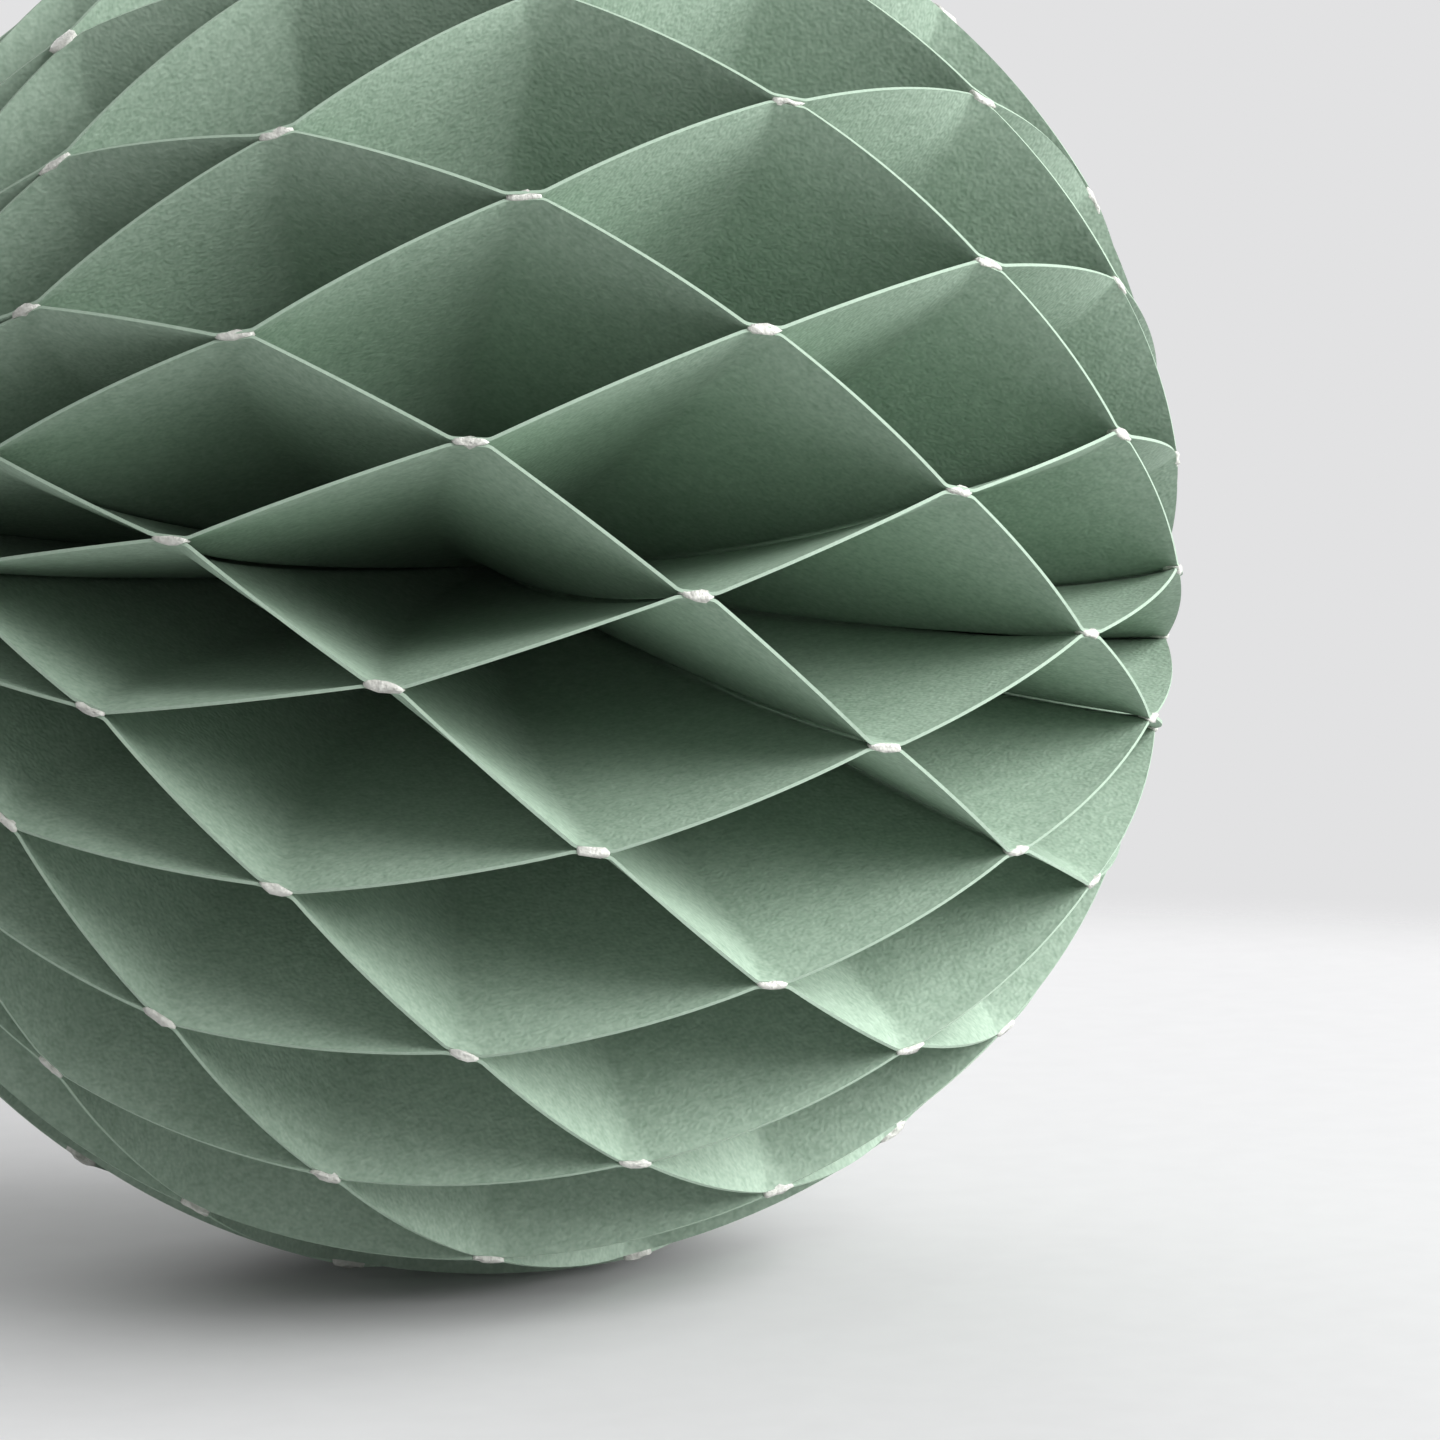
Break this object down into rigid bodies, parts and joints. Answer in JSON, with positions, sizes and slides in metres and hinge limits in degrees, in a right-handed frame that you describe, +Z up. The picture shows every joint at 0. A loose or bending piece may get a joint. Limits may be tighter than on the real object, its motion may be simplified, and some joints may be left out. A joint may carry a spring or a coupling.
{
  "type": "honeycomb paper ball",
  "caption": "Round table decoration of folded card circles, bound on one diameter and fanned out into a ball, with small glue spots at the rim that open the leaves into honeycomb cells.",
  "frame": {"origin": "on the table under the middle of the ball's box", "axes": "+Z up; the binding runs along X, its +X end tipped down by 7.5 degrees; the pile's upper end leans towards -Y"},
  "size_m": [0.1004, 0.1002, 0.1019],
  "materials": {
    "card": "matt, fibrous",
    "wire": "satin",
    "glue": "semi-gloss"
  },
  "bodies": {
    "root": {"disc_01": "card", "disc_02": "card", "disc_03": "card", "disc_04": "card", "disc_05": "card", "disc_06": "card", "disc_07": "card", "disc_08": "card", "disc_09": "card", "disc_10": "card", "disc_11": "card", "disc_12": "card", "disc_13": "card", "disc_14": "card", "disc_15": "card", "disc_16": "card", "disc_17": "card", "disc_18": "card", "staples": "wire", "glue_01": "glue", "glue_02": "glue", "glue_03": "glue", "glue_04": "glue", "glue_05": "glue", "glue_06": "glue", "glue_07": "glue", "glue_08": "glue", "glue_09": "glue", "glue_10": "glue", "glue_11": "glue", "glue_12": "glue", "glue_13": "glue", "glue_14": "glue", "glue_15": "glue", "glue_16": "glue", "glue_17": "glue", "glue_bottom": "glue", "glue_top": "glue"}
  },
  "joints": []
}
